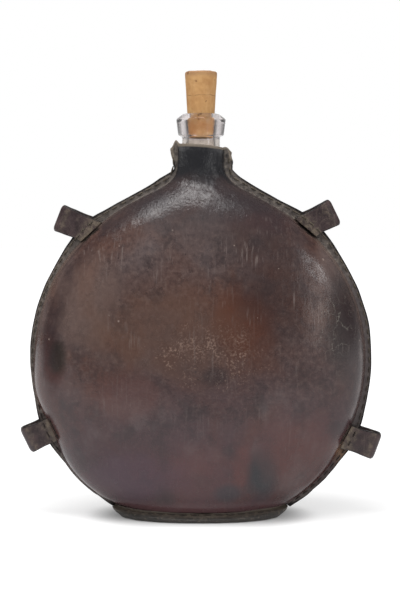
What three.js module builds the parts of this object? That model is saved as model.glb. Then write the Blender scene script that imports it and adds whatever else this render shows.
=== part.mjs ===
// A leather-covered glass canteen: a flattened round flask in a sewn leather cover, with strap loops and a cork.
// Millimetres, +Z up. The origin lies on the floor under the middle of the base, and the front faces -Y.
import * as THREE from 'three';

// Glass flask
const BODY_RADIUS = 95.9; // half the width at the widest level
const BODY_DEPTH = 72; // front to back through the middle
const BODY_RISE = 92.7; // height of the widest level above the foot
const BODY_CROWN = 2.2; // extra height of the upper curve, which is a circle without it
const FOOT_LENGTH = 74; // flat foot, left to right
const FOOT_DEPTH = 34; // flat foot, front to back
const FACE_EXPONENT = 2.4; // 2 is an ellipse, more is a flatter face with a tighter edge
const FACE_DROP = 3.3; // how far below the straight neck the two faces run out
const FACE_BLEND = 6; // softening where the faces meet the neck
const SHOULDER_SLOPE = THREE.MathUtils.degToRad(29.4); // fall of the straight shoulders
const SHOULDER_FILLET = 8.3; // hollow corner between shoulder and neck
const NECK_RADIUS = 11.4;
const NECK_LENGTH = 33.7; // from the top of the shoulder to the top of the lip
const GLASS_WALL = 3.8;
const GLASS_FLOOR = 6;
const FLOOR_ROUND = 4; // width of the sloping edge round the hollow's floor
const LIP_RADIUS = 15;
const LIP_HEIGHT = 13;
const LIP_BEVEL = 3.2; // height of the sloping top of the lip
const LIP_TOP_RADIUS = 10.8; // outer edge of the lip's top face
const LIP_FOOT_RADIUS = 13.7;
const LIP_UNDERCUT = 0.6; // fall of the lip's underside towards the neck

// Cork
const CORK_LENGTH = 39.6;
const CORK_DEPTH = 12.6; // the length pushed into the mouth
const CORK_TOP_RADIUS = 9.8;
const CORK_CHAMFER = 0.9;

// Leather cover
const LEATHER = 2.4;
const SEAM_GAP = 0.3; // between the two flanges
const FLANGE_WIDTH = 4.4; // seam flange at the widest level of the body
const NECK_FLANGE = 4.1; // seam flange beside the neck
const FOOT_FLANGE = 2.2; // seam flange at its lower end
const FLANGE_CROWN = 2.8; // extra height of the flange's upper curve
const FLANGE_FILLET = 4; // its corner between shoulder and neck
const CREASE_RADIUS = 0.8; // hollow corner between the moulded face and the flange
const COLLAR_HEIGHT = 14.7; // straight neck sleeve above the shoulder
const COVER_LIFT = 3.7; // lower edge of the panels above the glass foot

// Base cap
const CAP_LEATHER = 2.6;
const CAP_RISE = 6.8; // level of the cap's rim above the glass foot
const CAP_DRAW = 2.2; // how far the wall draws in from the rim to the floor, at the front and the back
const CAP_END_DRAW = 5; // the same at the two ends
const CAP_EDGE = 2; // rounded lower edge
const FLANGE_LIFT = 0.5; // lowest level of the seam flange above the cap's rim

// Strap loops: each has a reach from the edge of the flange to the outside of its fold,
// a place round the seam and a lean from the outward direction there, in degrees
const LOOP_WIDTH = 15.8;
const LOOP_LEATHER = 2;
const LOOP_TUCK = 4.6; // overlap of the legs on the flange, where the flange is broad enough
const UPPER_LEFT_REACH = 17.7;
const UPPER_RIGHT_REACH = 16;
const LOWER_LEFT_REACH = 14.2;
const LOWER_RIGHT_REACH = 16.4;
const LOOPS = [
  { name: 'upper_left_loop', place: 132.5, lean: 26, reach: UPPER_LEFT_REACH },
  { name: 'upper_right_loop', place: 50, lean: -24, reach: UPPER_RIGHT_REACH },
  { name: 'lower_left_loop', place: 205, lean: 0.7, reach: LOWER_LEFT_REACH },
  { name: 'lower_right_loop', place: -27.5, lean: 7.4, reach: LOWER_RIGHT_REACH },
];

// Stitching
const THREAD_RADIUS = 0.5;
const STITCH_PITCH = 5.8;
const STITCH_INSET = 1.7; // from the edge of the flange
const STITCH_HUMP = 0.5; // rise of a stitch between its holes
const STITCH_END = 4; // from the ends of a seam
const CAP_STITCH_DROP = 0.24; // below the rim, as a share of the cap's wall
const CAP_STITCH_SPAN = THREE.MathUtils.degToRad(162); // of the front or back half of the rim
const LOOP_RAMP = 2; // length in which a thread climbs on to a loop, and its margin round the loop

// Fits and facets
const CLEARANCE = 0.3;
const ROWS = 22; // rings from the lowest flange level to the collar
const FACE_COLUMNS = 16; // strips across the front or back face
const CORK_FACETS = 28;
const FOLD_FACETS = 8; // in the round of a loop's fold
const FLANGE_SAMPLES = 80; // points at which the width of the flange is measured
const NUDGE = 1e-4; // step for surface directions

// Levels and radii that follow from the sizes above
const glassFoot = CAP_LEATHER + CLEARANCE;
const bodyCentre = glassFoot + BODY_RISE;
const bodyCurve = shoulderCurve(BODY_RADIUS, BODY_RADIUS + BODY_CROWN, NECK_RADIUS, SHOULDER_FILLET);
const neckStart = bodyCurve.filletEnd;
const faceRise = neckStart - bodyCentre - FACE_DROP;
const lipTop = neckStart + NECK_LENGTH;
const collarTop = neckStart + COLLAR_HEIGHT;
const boreRadius = NECK_RADIUS - GLASS_WALL;
const corkFootRadius = boreRadius - CLEARANCE;
const corkTaper = (CORK_TOP_RADIUS - corkFootRadius) / CORK_LENGTH;
const mouthRadius = boreRadius + corkTaper * CORK_DEPTH;
const coverInside = CLEARANCE;
const coverOutside = CLEARANCE + LEATHER;
const flangeBack = SEAM_GAP / 2;
const flangeFront = flangeBack + LEATHER;
const seamRadius = BODY_RADIUS + coverOutside + FLANGE_WIDTH;
const seamUpperRise = seamRadius + FLANGE_CROWN;
const neckSeam = NECK_RADIUS + coverOutside + NECK_FLANGE;
const seamCurve = shoulderCurve(seamRadius, seamUpperRise, neckSeam, FLANGE_FILLET);
const coverEdge = glassFoot + COVER_LIFT;
const capRim = glassFoot + CAP_RISE;
const flangeFoot = capRim + FLANGE_LIFT;
const lowerRise = BODY_RISE / Math.sqrt(1 - (FOOT_LENGTH / 2 / BODY_RADIUS) ** 2);
const lowerFaceRise = BODY_RISE / faceProfile(FOOT_DEPTH / BODY_DEPTH);

// Height of a unit superellipse at a share of its half-width
function faceProfile(share) {
  const part = Math.max(0, 1 - Math.abs(share) ** FACE_EXPONENT);
  return part ** (1 / FACE_EXPONENT);
}

function signedPower(value, power) {
  return Math.sign(value) * Math.abs(value) ** power;
}

// The larger of two values, with a soft change from one to the other
function softMax(a, b, blend) {
  const share = THREE.MathUtils.clamp(0.5 + (a - b) / (2 * blend), 0, 1);
  return THREE.MathUtils.lerp(b, a, share) + blend * share * (1 - share) / 2;
}

// Upper outline of a body: a curve from its widest level, a straight shoulder and a fillet into the neck
function shoulderCurve(radius, rise, neck, fillet) {
  const across = Math.sin(SHOULDER_SLOPE);
  const up = Math.cos(SHOULDER_SLOPE);
  const reach = Math.hypot(radius * across, rise * up);
  const filletX = neck + fillet;
  const filletEnd = bodyCentre + (reach + fillet - filletX * across) / up;
  return {
    radius,
    rise,
    neck,
    fillet,
    curveEnd: Math.atan2(rise * up, radius * across),
    curveTop: bodyCentre + rise ** 2 * up / reach,
    lineReach: reach,
    filletX,
    filletStart: filletEnd - fillet * up,
    filletEnd,
  };
}

// Half the width of such an outline at a height above its widest level
function curveWidth(curve, z) {
  const height = z - bodyCentre;
  if (z < curve.curveTop) return curve.radius * Math.sqrt(1 - (height / curve.rise) ** 2);
  if (z < curve.filletStart) return (curve.lineReach - height * Math.cos(SHOULDER_SLOPE)) / Math.sin(SHOULDER_SLOPE);
  if (z < curve.filletEnd) return curve.filletX - Math.sqrt(curve.fillet ** 2 - (curve.filletEnd - z) ** 2);
  return curve.neck;
}

// The same outline as a path from a start angle on the lower ellipse up to the collar
function outlinePath(curve, lowerRise, start) {
  return new THREE.Path()
    .absellipse(0, bodyCentre, curve.radius, lowerRise, start, 0, false, 0)
    .absellipse(0, bodyCentre, curve.radius, curve.rise, 0, curve.curveEnd, false, 0)
    .absarc(curve.filletX, curve.filletEnd, curve.fillet, 1.5 * Math.PI - SHOULDER_SLOPE, Math.PI, true)
    .lineTo(curve.neck, collarTop);
}

// Half the glass's width at a height: lower ellipse, then the upper outline
function halfWidth(z) {
  if (z < bodyCentre) return BODY_RADIUS * Math.sqrt(1 - ((bodyCentre - z) / lowerRise) ** 2);
  return curveWidth(bodyCurve, z);
}

// Half the glass's depth at a height
function halfDepth(z) {
  const rise = z < bodyCentre ? lowerFaceRise : faceRise;
  const face = BODY_DEPTH / 2 * faceProfile((z - bodyCentre) / rise);
  return z < bodyCentre ? face : softMax(face, NECK_RADIUS, FACE_BLEND);
}

// The level sections are flat-faced at the middle of the body, and round at the neck and the foot
function sectionExponent(z) {
  const span = z < bodyCentre ? BODY_RISE : faceRise;
  return 2 + (FACE_EXPONENT - 2) * Math.max(0, 1 - ((z - bodyCentre) / span) ** 2);
}

// A point on the outside of the glass: angle 0 is +X, and three quarters of a turn is the front
function glassPoint(angle, z) {
  const power = 2 / sectionExponent(z);
  return new THREE.Vector3(
    halfWidth(z) * signedPower(Math.cos(angle), power),
    halfDepth(z) * signedPower(Math.sin(angle), power),
    z,
  );
}

function surfaceNormal(surface, u, v) {
  const across = surface(u + NUDGE, v).sub(surface(u - NUDGE, v));
  const up = surface(u, v + NUDGE).sub(surface(u, v - NUDGE));
  return across.cross(up).normalize();
}

function offsetPoint(surface, u, v, distance) {
  return surface(u, v).addScaledVector(surfaceNormal(surface, u, v), distance);
}

// Angle at which the cover's face leaves the crease beside the seam
function creaseAngle(z) {
  const share = (flangeFront + CREASE_RADIUS) / (halfDepth(z) + coverOutside);
  return Math.asin(share ** (sectionExponent(z) / 2));
}

// Angles across one face from one crease to the other, starting at a given seam
function faceAngles(z, seam) {
  const crease = creaseAngle(z);
  const step = (Math.PI - 2 * crease) / FACE_COLUMNS;
  return Array.from({ length: FACE_COLUMNS + 1 }, (_, k) => seam + crease + k * step);
}

// Angles all round, shared by the glass, the cover and the cap so that their facets lie parallel
function ringAngles(z) {
  return [0, ...faceAngles(z, 0), Math.PI, ...faceAngles(z, Math.PI)];
}

// Front outline of the glass beside the seam, from the lowest flange level to the collar
function glassOutline() {
  return outlinePath(bodyCurve, lowerRise, -Math.asin((bodyCentre - flangeFoot) / lowerRise));
}

// Outer edge of the seam flange on the right, from its lower end to the collar
const seamFoot = offsetPoint(glassPoint, 0, flangeFoot, coverOutside + FOOT_FLANGE);
const seamLowerRise = (bodyCentre - seamFoot.z) / Math.sqrt(1 - (seamFoot.x / seamRadius) ** 2);

function seamOutline() {
  return outlinePath(seamCurve, seamLowerRise, -Math.asin((bodyCentre - seamFoot.z) / seamLowerRise));
}

const glassEdge = glassOutline();
const seamEdge = seamOutline();
const coverLevels = glassEdge.getSpacedPoints(ROWS).map((point) => point.y);

// A closed mesh from points and triangles
function meshGeometry(points, triangles) {
  const geometry = new THREE.BufferGeometry().setFromPoints(points);
  geometry.setIndex(triangles);
  geometry.computeVertexNormals();
  return geometry;
}

// A solid through matching closed rings, with both ends filled
function loft(rings) {
  const count = rings[0].length;
  const points = rings.flat();
  const triangles = [];
  for (let i = 0; i + 1 < rings.length; i++) {
    for (let j = 0; j < count; j++) {
      const a = i * count + j;
      const b = i * count + (j + 1) % count;
      triangles.push(a, b, a + count, b, b + count, a + count);
    }
  }
  const last = (rings.length - 1) * count;
  const first = points.push(ringCentre(rings[0])) - 1;
  const end = points.push(ringCentre(rings[rings.length - 1])) - 1;
  for (let j = 0; j < count; j++) {
    const next = (j + 1) % count;
    triangles.push(first, next, j, end, last + j, last + next);
  }
  return meshGeometry(points, triangles);
}

function ringCentre(ring) {
  const sum = ring.reduce((total, point) => total.add(point), new THREE.Vector3());
  return sum.divideScalar(ring.length);
}

// A solid between two matching grids of points, the outer skin and the inner skin, closed along their borders
function thicken(outer, inner) {
  const rows = outer.length;
  const columns = outer[0].length;
  const inside = rows * columns;
  const points = [...outer.flat(), ...inner.flat()];
  const triangles = [];
  for (let i = 0; i + 1 < rows; i++) {
    for (let j = 0; j + 1 < columns; j++) {
      const a = i * columns + j;
      const b = a + columns;
      triangles.push(a, a + 1, b, a + 1, b + 1, b);
      triangles.push(inside + a, inside + b, inside + a + 1, inside + a + 1, inside + b, inside + b + 1);
    }
  }
  const border = [];
  for (let j = 0; j < columns - 1; j++) border.push(j);
  for (let i = 0; i < rows - 1; i++) border.push(i * columns + columns - 1);
  for (let j = columns - 1; j > 0; j--) border.push((rows - 1) * columns + j);
  for (let i = rows - 1; i > 0; i--) border.push(i * columns);
  border.forEach((p, k) => {
    const q = border[(k + 1) % border.length];
    triangles.push(q, p, inside + p, q, inside + p, inside + q);
  });
  return meshGeometry(points, triangles);
}

function glassRing(z, distance) {
  return ringAngles(z).map((angle) => offsetPoint(glassPoint, angle, z, distance));
}

// A ring drawn in towards the axis by a distance, at another height
function insetRing(ring, distance, z) {
  return ring.map((point) => {
    const flat = new THREE.Vector3(point.x, point.y, 0);
    return flat.setLength(flat.length() - distance).setZ(z);
  });
}

function roundRing(radius, z) {
  return ringAngles(collarTop).map(
    (angle) => new THREE.Vector3(radius * Math.cos(angle), radius * Math.sin(angle), z),
  );
}

// One blown piece: foot, body, neck and lip on the outside, then the bore and the hollow body on the inside
function glassFlask() {
  const levels = [glassFoot, coverEdge, capRim, ...coverLevels];
  const outside = levels.map((z) => glassRing(z, 0));
  const lip = [
    roundRing(NECK_RADIUS, lipTop - LIP_HEIGHT - LIP_UNDERCUT),
    roundRing(LIP_FOOT_RADIUS, lipTop - LIP_HEIGHT),
    roundRing(LIP_RADIUS, lipTop - LIP_BEVEL),
    roundRing(LIP_TOP_RADIUS, lipTop),
  ];
  const bore = [
    roundRing(mouthRadius, lipTop),
    roundRing(boreRadius, lipTop - CORK_DEPTH),
  ];
  const hollowFloor = glassFoot + GLASS_FLOOR;
  const hollow = coverLevels.filter((z, row) => row % 2 === 0 && z > hollowFloor).reverse();
  const inside = hollow.map((z) => glassRing(z, -GLASS_WALL));
  const lowest = inside[inside.length - 1];
  const floor = insetRing(lowest, FLOOR_ROUND, hollowFloor);
  return loft([...outside, ...lip, ...bore, ...inside, floor]);
}

// A tapered cork with its edges broken, standing in the mouth
function corkStopper() {
  const foot = lipTop - CORK_DEPTH;
  const top = foot + CORK_LENGTH;
  const profile = [
    new THREE.Vector2(0, foot),
    new THREE.Vector2(corkFootRadius - CORK_CHAMFER, foot),
    new THREE.Vector2(corkFootRadius + corkTaper * CORK_CHAMFER, foot + CORK_CHAMFER),
    new THREE.Vector2(CORK_TOP_RADIUS - corkTaper * CORK_CHAMFER, top - CORK_CHAMFER),
    new THREE.Vector2(CORK_TOP_RADIUS - CORK_CHAMFER, top),
    new THREE.Vector2(0, top),
  ];
  return new THREE.LatheGeometry(profile, CORK_FACETS).rotateX(Math.PI / 2);
}

// One row of the front panel, as matching outer and inner points from the left seam to the right seam.
// With a flange the row runs out to the edge of the seam, and without one it ends at the seam itself.
function coverRow(z, seam) {
  const face = faceAngles(z, Math.PI);
  const outer = face.map((angle) => offsetPoint(glassPoint, angle, z, coverOutside));
  const inner = face.map((angle) => offsetPoint(glassPoint, angle, z, coverInside));
  const footOut = offsetPoint(glassPoint, 0, z, coverOutside);
  const footIn = offsetPoint(glassPoint, 0, z, coverInside);
  const away = surfaceNormal(glassPoint, 0, z);
  const turn = CREASE_RADIUS * (1 - Math.SQRT1_2);
  const beside = (foot, distance, depth) => foot.clone().addScaledVector(away, distance).setY(-depth);
  let outerEdge = [flangeBack, flangeBack + LEATHER / 3, flangeFront].map((depth) => beside(footOut, 0, depth));
  let innerEdge = [flangeBack, flangeBack + LEATHER / 3, flangeFront].map((depth) => beside(footIn, 0, depth));
  if (seam) {
    outerEdge = [
      new THREE.Vector3(seam.x, -flangeFront, seam.y),
      beside(footOut, CREASE_RADIUS, flangeFront),
      beside(footOut, turn, flangeFront + turn),
    ];
    innerEdge = [
      new THREE.Vector3(seam.x, -flangeBack, seam.y),
      beside(footOut, CREASE_RADIUS, flangeBack),
      beside(footIn, 0, flangeBack),
    ];
  }
  const mirrored = (edge) => edge.map((point) => new THREE.Vector3(-point.x, point.y, point.z));
  return {
    outer: [...mirrored(outerEdge), ...outer, ...outerEdge.reverse()],
    inner: [...mirrored(innerEdge), ...inner, ...innerEdge.reverse()],
  };
}

// A moulded half of the cover, with its neck sleeve and its seam flange
function coverPanel() {
  const tucked = [coverEdge, capRim].map((z) => coverRow(z, null));
  const sewn = coverLevels.map((z, row) => coverRow(z, seamEdge.getPointAt(row / ROWS)));
  const rows = [...tucked, ...sewn];
  return thicken(rows.map((row) => row.outer), rows.map((row) => row.inner));
}

// Outside of the base cap's wall: share 0 at its foot and 1 at its rim
function capWall(angle, share) {
  const rim = offsetPoint(glassPoint, angle, capRim, coverOutside + CLEARANCE + CAP_LEATHER);
  const length = offsetPoint(glassPoint, 0, capRim, coverOutside + CLEARANCE + CAP_LEATHER).x - CAP_END_DRAW;
  const depth = offsetPoint(glassPoint, Math.PI / 2, capRim, coverOutside + CLEARANCE + CAP_LEATHER).y - CAP_DRAW;
  const foot = new THREE.Vector3(length * Math.cos(angle), depth * Math.sin(angle), CAP_EDGE);
  return foot.lerp(rim, share);
}

// A shallow tray with a flat floor, drawn up round the lower edges of the two panels
function baseCap() {
  const angles = ringAngles(capRim);
  const foot = angles.map((angle) => capWall(angle, 0));
  const rimOutside = angles.map((angle) => capWall(angle, 1));
  const rimInside = angles.map((angle) => offsetPoint(glassPoint, angle, capRim, coverOutside + CLEARANCE));
  return loft([
    insetRing(foot, CAP_EDGE, 0),
    foot,
    rimOutside,
    rimInside,
    insetRing(foot, CAP_LEATHER, CAP_LEATHER),
  ]);
}

// Width of the flange inside a point of its edge
function flangeWidthAt(seat) {
  const edge = new THREE.Vector3(Math.abs(seat.x), 0, seat.z);
  const feet = glassEdge.getSpacedPoints(FLANGE_SAMPLES).map(
    (point) => offsetPoint(glassPoint, 0, point.y, coverOutside),
  );
  return Math.min(...feet.map((foot) => foot.distanceTo(edge)));
}

// Where a loop sits on the edge of the flange, how it is turned, and how far its legs reach over the flange
function loopFrame(loop) {
  const place = THREE.MathUtils.degToRad(loop.place);
  const lean = THREE.MathUtils.degToRad(loop.lean);
  const rise = Math.sin(place) > 0 ? seamUpperRise : seamLowerRise;
  const turn = place + lean;
  const seat = new THREE.Vector3(seamRadius * Math.cos(place), 0, bodyCentre + rise * Math.sin(place));
  const room = flangeWidthAt(seat) - CREASE_RADIUS - CLEARANCE;
  return {
    name: loop.name,
    seat,
    along: new THREE.Vector3(Math.cos(turn), 0, Math.sin(turn)),
    across: new THREE.Vector3(-Math.sin(turn), 0, Math.cos(turn)),
    turn,
    lean,
    tuck: Math.min(LOOP_TUCK, room) / Math.cos(lean),
    reach: loop.reach,
  };
}

const loopFrames = LOOPS.map(loopFrame);

// A strip folded over the flange, with a rounded fold outside it for the carrying strap.
// The ends of its legs are cut along the seam.
function strapLoop(frame) {
  const inside = flangeFront + CLEARANCE;
  const outside = inside + LOOP_LEATHER;
  const fold = frame.reach - outside;
  const strip = new THREE.Shape()
    .moveTo(-frame.tuck, -outside)
    .lineTo(fold, -outside)
    .absarc(fold, 0, outside, -Math.PI / 2, Math.PI / 2, false)
    .lineTo(-frame.tuck, outside)
    .lineTo(-frame.tuck, inside)
    .lineTo(fold, inside)
    .absarc(fold, 0, inside, Math.PI / 2, -Math.PI / 2, true)
    .lineTo(-frame.tuck, -inside);
  const options = { depth: LOOP_WIDTH, bevelEnabled: false, curveSegments: FOLD_FACETS };
  const geometry = new THREE.ExtrudeGeometry(strip, options).translate(0, 0, -LOOP_WIDTH / 2);
  const places = geometry.attributes.position;
  for (let k = 0; k < places.count; k++) {
    const slant = places.getZ(k) * Math.tan(frame.lean);
    if (places.getX(k) < 0) places.setX(k, slant - frame.tuck);
  }
  return geometry;
}

// How far a thread at a point has climbed on to a loop: 0 on the flange, 1 on the loop
function loopClimb(point) {
  const climbs = loopFrames.map((frame) => {
    const offset = point.clone().sub(frame.seat);
    const outside = Math.abs(offset.dot(frame.across)) - LOOP_WIDTH / 2;
    const short = -frame.tuck - offset.dot(frame.along) + offset.dot(frame.across) * Math.tan(frame.lean);
    return 1 - (Math.max(outside, short) - LOOP_RAMP) / LOOP_RAMP;
  });
  return THREE.MathUtils.clamp(Math.max(...climbs), 0, 1);
}

// A four-sided strand along points, each with the outward direction of the leather under it
function strand(path) {
  const rings = path.map(({ point, out }, k) => {
    const before = path[Math.max(0, k - 1)].point;
    const after = path[Math.min(path.length - 1, k + 1)].point;
    const side = after.clone().sub(before).cross(out).setLength(THREAD_RADIUS);
    const rise = out.clone().setLength(THREAD_RADIUS);
    return [rise, side, rise.clone().negate(), side.clone().negate()].map((arm) => arm.add(point));
  });
  return loft(rings);
}

// A row of stitches on one face of a side seam: side is 1 on the right, and face is -1 on the front
function seamThread(side, face) {
  const length = seamEdge.getLength();
  const stitches = Math.round((length - 2 * STITCH_END) / STITCH_PITCH);
  const path = [];
  for (let k = 0; k <= 2 * stitches; k++) {
    const share = (STITCH_END + (length - 2 * STITCH_END) * k / (2 * stitches)) / length;
    const edge = seamEdge.getPointAt(share);
    const run = seamEdge.getTangentAt(share);
    const point = new THREE.Vector3(side * (edge.x - run.y * STITCH_INSET), 0, edge.y + run.x * STITCH_INSET);
    const climb = loopClimb(point) * (CLEARANCE + LOOP_LEATHER);
    const hump = k % 2 === 0 ? 0 : STITCH_HUMP;
    point.setY(face * (flangeFront + CLEARANCE + THREAD_RADIUS + climb + hump));
    path.push({ point, out: new THREE.Vector3(0, face, 0) });
  }
  return strand(path);
}

// A row of stitches round the front or the back of the base cap's rim
function baseThread(start) {
  const share = 1 - CAP_STITCH_DROP;
  const spread = (Math.PI - CAP_STITCH_SPAN) / 2;
  const run = new THREE.CatmullRomCurve3(faceAngles(capRim, start).map((angle) => capWall(angle, share)));
  const stitches = Math.round(run.getLength() / STITCH_PITCH);
  const path = [];
  for (let k = 0; k <= 2 * stitches; k++) {
    const angle = start + spread + CAP_STITCH_SPAN * k / (2 * stitches);
    const out = surfaceNormal(capWall, angle, share);
    const hump = k % 2 === 0 ? 0 : STITCH_HUMP;
    const point = capWall(angle, share).addScaledVector(out, CLEARANCE + THREAD_RADIUS + hump);
    path.push({ point, out });
  }
  return strand(path);
}

const materials = {
  glass: { color: 0xd9d6de, roughness: 0.06, metalness: 0 },
  cork: { color: 0xc0905a, roughness: 0.9, metalness: 0 },
  cover: { color: 0x4a3833, roughness: 0.45, metalness: 0 },
  base: { color: 0x3b3630, roughness: 0.6, metalness: 0 },
  loop: { color: 0x4a3f36, roughness: 0.6, metalness: 0 },
  thread: { color: 0x2a211b, roughness: 0.85, metalness: 0 },
};

const canteen = new THREE.Group();
canteen.name = 'canteen';

function addPiece(name, geometry, finish) {
  const mesh = new THREE.Mesh(geometry, new THREE.MeshStandardMaterial(materials[finish]));
  mesh.name = name;
  canteen.add(mesh);
  return mesh;
}

addPiece('glass_flask', glassFlask(), 'glass');
addPiece('cork_stopper', corkStopper(), 'cork');
addPiece('front_cover', coverPanel(), 'cover');
addPiece('back_cover', coverPanel(), 'cover').rotation.z = Math.PI;
addPiece('base_cap', baseCap(), 'base');
for (const frame of loopFrames) {
  const mesh = addPiece(frame.name, strapLoop(frame), 'loop');
  mesh.position.copy(frame.seat);
  mesh.rotation.y = -frame.turn;
}
addPiece('left_seam_thread_front', seamThread(-1, -1), 'thread');
addPiece('left_seam_thread_back', seamThread(-1, 1), 'thread');
addPiece('right_seam_thread_front', seamThread(1, -1), 'thread');
addPiece('right_seam_thread_back', seamThread(1, 1), 'thread');
addPiece('base_thread_front', baseThread(Math.PI), 'thread');
addPiece('base_thread_back', baseThread(0), 'thread');

export default canteen;
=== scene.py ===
"""Looks of a leather-covered glass canteen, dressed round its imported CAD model.

Metres, in the CAD frame: +Z up along the neck, front towards -Y, origin on the floor under the base.
"""
import math

import bmesh
import bpy
from mathutils import Matrix, Vector, noise


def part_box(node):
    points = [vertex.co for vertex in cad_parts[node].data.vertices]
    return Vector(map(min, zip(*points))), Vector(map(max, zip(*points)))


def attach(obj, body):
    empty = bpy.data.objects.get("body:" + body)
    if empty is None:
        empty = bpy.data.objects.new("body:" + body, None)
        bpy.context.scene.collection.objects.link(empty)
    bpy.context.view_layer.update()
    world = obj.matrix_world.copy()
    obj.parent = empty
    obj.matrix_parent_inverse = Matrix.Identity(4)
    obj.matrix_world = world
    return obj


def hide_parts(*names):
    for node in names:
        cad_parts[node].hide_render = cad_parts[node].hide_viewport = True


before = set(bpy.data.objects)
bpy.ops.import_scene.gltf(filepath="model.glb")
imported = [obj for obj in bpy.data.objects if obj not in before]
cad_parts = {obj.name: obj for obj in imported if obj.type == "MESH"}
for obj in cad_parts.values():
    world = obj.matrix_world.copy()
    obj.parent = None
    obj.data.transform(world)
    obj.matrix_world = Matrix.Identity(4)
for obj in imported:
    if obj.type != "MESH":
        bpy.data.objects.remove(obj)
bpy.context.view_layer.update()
scene = bpy.context.scene
scene.view_settings.view_transform = "Standard"

MM = 0.001
X, Z = 0, 2  # places of these axes in a vector

# Studio
BODY_MIDDLE = Vector((0, 0, 0.12))
CONTACT_GLOW = 0.12  # of the floor, at the foot of the object (lower there, a painted contact shadow), beside it and far from it
NEAR_GLOW = 0.5
FAR_GLOW = 0.75
WINDOW = (-0.26, -0.9, 0.35)  # direction of the brightest part of the room
FRONT_LEVEL = 0.98  # soft light from that part, and from the part behind the object
BACK_LEVEL = 0.42
DARK_ROOM = 0.1  # brightness of the room beside and behind the camera, as reflections show it
BACKDROP = 0.9  # brightness of the backdrop, as reflections show it
GLASS_DARK = 0.12  # darkest and brightest part of the room that shows through glass
GLASS_BRIGHT = 0.92
PAPER = 203  # screen value of the floor, and of its dim front and right as reflections show them
DIM_PAPER = 110
CONTACT_STRAIGHT = 28 * MM  # half length of the straight sides of the painted contact shadow on the floor
CONTACT_INNER = 23 * MM  # from its middle line, where it starts to fade and where it ends
CONTACT_OUTER = 46 * MM

# Camera
CAMERA_PLACE = Vector((0, -0.9, 0.185))
CAMERA_AIM = Vector((0, 0, 0.136))
LENS = 90
LONG_SIDE = 600  # pixels of the picture's longer side
NUDGE_RIGHT = 1  # pixels
NUDGE_UP = 9.5

# Seam flange: outline of its edge, from the part's own sizes
SEAM_LEVEL = 95.6 * MM
SEAM_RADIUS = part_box("front_cover")[1].x
SEAM_UPPER_RISE = 105.8 * MM
SEAM_LOWER_RISE = 104.5 * MM

# Strap loops: place round the seam and lean from the outward direction in degrees, reach from the edge
LOOP_WIDTH = 15.8 * MM
LOOP_LEATHER = 2 * MM
LOOP_TUCK = 4.4 * MM
LOOP_SKEW = 0.8 * MM  # rise of the back leg and fall of the front one
LOOP_MIDDLE = 3.85 * MM  # from the middle of the flange to the middle of a leg's leather
LOOP_CORNER = 1.1 * MM  # rounding of the corners at the fold
LOOP_EDGE = 0.4 * MM  # bevel of the cut edges
LOOPS = {
    "upper_left_loop": {"place": 132.5, "lean": 26, "reach": 17.7 * MM},
    "upper_right_loop": {"place": 50, "lean": -24, "reach": 16 * MM},
    "lower_left_loop": {"place": 205, "lean": 0.7, "reach": 14.2 * MM},
    "lower_right_loop": {"place": -27.5, "lean": 7.4, "reach": 16.4 * MM},
}
LEG_END_SHADE_DEPTH = 5.6 * MM  # from the seam's edge to the painted shadow beside a loop's leg end

# Collar of the cover
COLLAR_FOOT = 206 * MM
COLLAR_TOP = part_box("front_cover")[1].z
NECK_SLEEVE = 14.1 * MM  # outside radius of the sleeve round the neck
NECK_SEAM = 18.2 * MM  # edge of the flange beside it

# Lip of the glass, which sits a little higher than the plain form
LIP_HEIGHT = 13.6 * MM
LIP_LIFT = 1.8 * MM
LIP_ROUNDING = 0.7 * MM

# Base cap
BASE_HALF = 46 * MM  # half the length over which its rim dips and is stitched

# Stitching
THREAD_RADIUS = 0.55 * MM
STITCH_SINK = 1.1 * MM  # how far a stitch's ends go into the leather
STITCH_LENGTH = 0.98  # of the way from one hole to the next
SEAM_ROW_SINK = 0.55 * MM  # how far the side seams' rows are drawn into the flange
SEAM_ROW_SHARE = 0.6  # of the move of the flange's edge, at the rows
BASE_ROW_RISE = 1.2 * MM  # of the base's stitches, towards the edge of its rim


def smooth_step(value, low, high):
    """0 below low, 1 above high, with a smooth change between them."""
    share = min(1, max(0, (value - low) / (high - low)))
    return share * share * (3 - 2 * share)


def ripple(point, wave, seed=0):
    """Soft irregularity from -1 to 1 that changes over a distance of about wave."""
    return noise.noise(point / wave + Vector((seed, 3.7 * seed, 1.3 * seed)))


def hump(value, middle, reach):
    """A smooth swelling of height 1 at a middle value."""
    return math.exp(-((value - middle) / reach) ** 2)


def bump_at(point, centre, reach):
    """A round swelling of height 1 at a centre."""
    return hump((point - centre).length, 0, reach)


# Camera and lamps


def look_at(place, aim):
    """Transform of a camera or lamp at a place, turned to a point."""
    turn = (aim - place).to_track_quat("-Z", "Y").to_matrix().to_4x4()
    return Matrix.Translation(place) @ turn


def add_camera():
    data = bpy.data.cameras.new("camera")
    data.lens = LENS
    data.shift_x = -NUDGE_RIGHT / LONG_SIDE
    data.shift_y = -NUDGE_UP / LONG_SIDE
    camera = bpy.data.objects.new("camera", data)
    camera.matrix_world = look_at(CAMERA_PLACE, CAMERA_AIM)
    scene.collection.objects.link(camera)
    scene.camera = camera


def add_softbox(name, towards, distance, width, height, power, roll=0):
    """A soft lamp in a direction from the middle of the body, facing it, rolled by an angle in degrees."""
    data = bpy.data.lights.new(name, "AREA")
    data.shape = "RECTANGLE"
    data.size = width
    data.size_y = height
    data.energy = power
    lamp = bpy.data.objects.new(name, data)
    place = BODY_MIDDLE + Vector(towards).normalized() * distance
    lamp.matrix_world = look_at(place, BODY_MIDDLE) @ Matrix.Rotation(math.radians(roll), 4, "Z")
    scene.collection.objects.link(lamp)


add_camera()


# Seam and loops: places that the leather, the loops and the stitches share


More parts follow.
